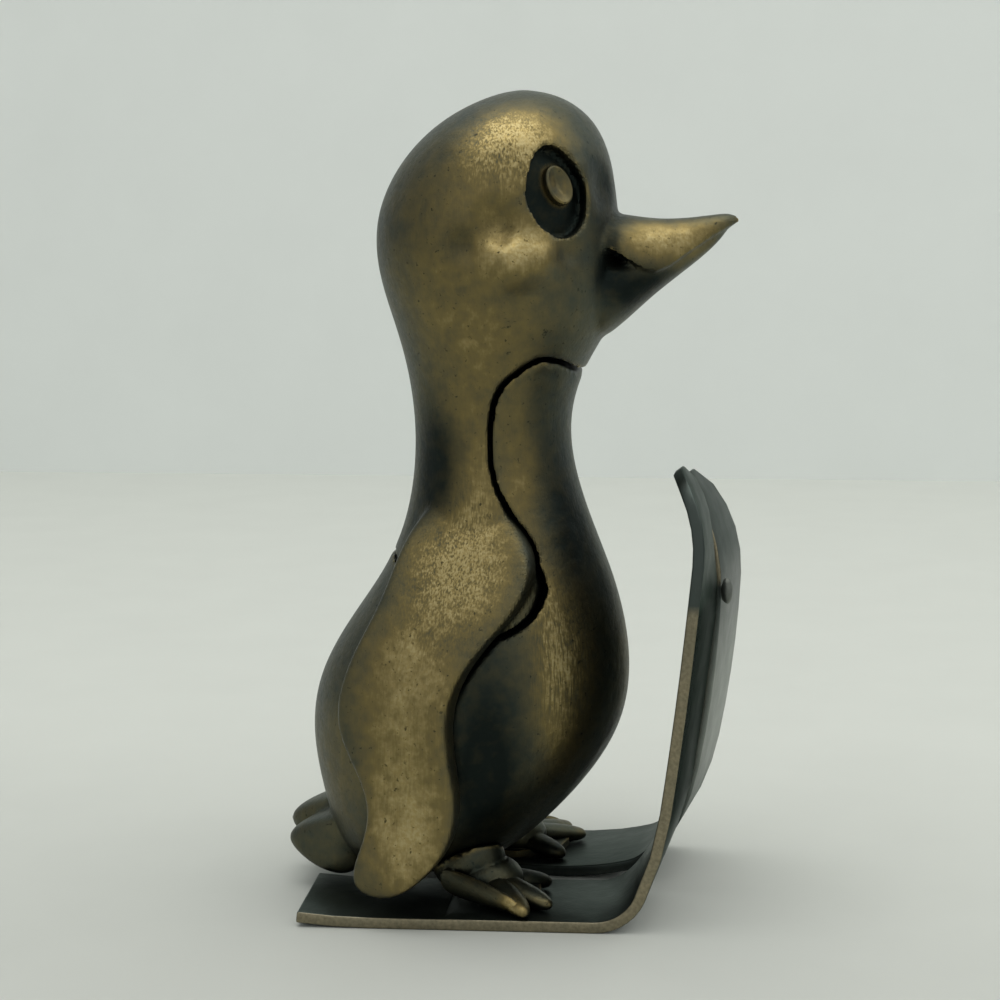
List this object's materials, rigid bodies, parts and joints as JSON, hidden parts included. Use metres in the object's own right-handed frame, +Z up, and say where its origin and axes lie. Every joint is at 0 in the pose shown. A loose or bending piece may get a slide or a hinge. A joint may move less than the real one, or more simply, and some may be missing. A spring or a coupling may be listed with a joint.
{
  "type": "penguin figurine",
  "caption": "Standing metal penguin chick on turned-up skis that point inward, a small tabletop ornament that rests on the flat soles of its skis.",
  "frame": {"origin": "middle of the figure's length and width, on the surface it stands on", "axes": "+Z up, +X the way the bird faces and the skis point, +Y the bird's left"},
  "size_m": [0.0522, 0.0378, 0.0901],
  "materials": {
    "cast_pewter": "dark patina with polished, brass-toned high spots",
    "ski_strip": "dark patina with bare ground edges",
    "solder": "dull grey, as it set",
    "steel": "plain bright steel"
  },
  "bodies": {
    "root": {"head_and_wings": "cast_pewter", "body": "cast_pewter", "right_foot": "cast_pewter", "left_foot": "cast_pewter", "right_ski": "ski_strip", "left_ski": "ski_strip", "ski_tip_joint": "solder", "neck_stud": "steel", "right_screw": "steel", "left_screw": "steel"}
  },
  "joints": []
}
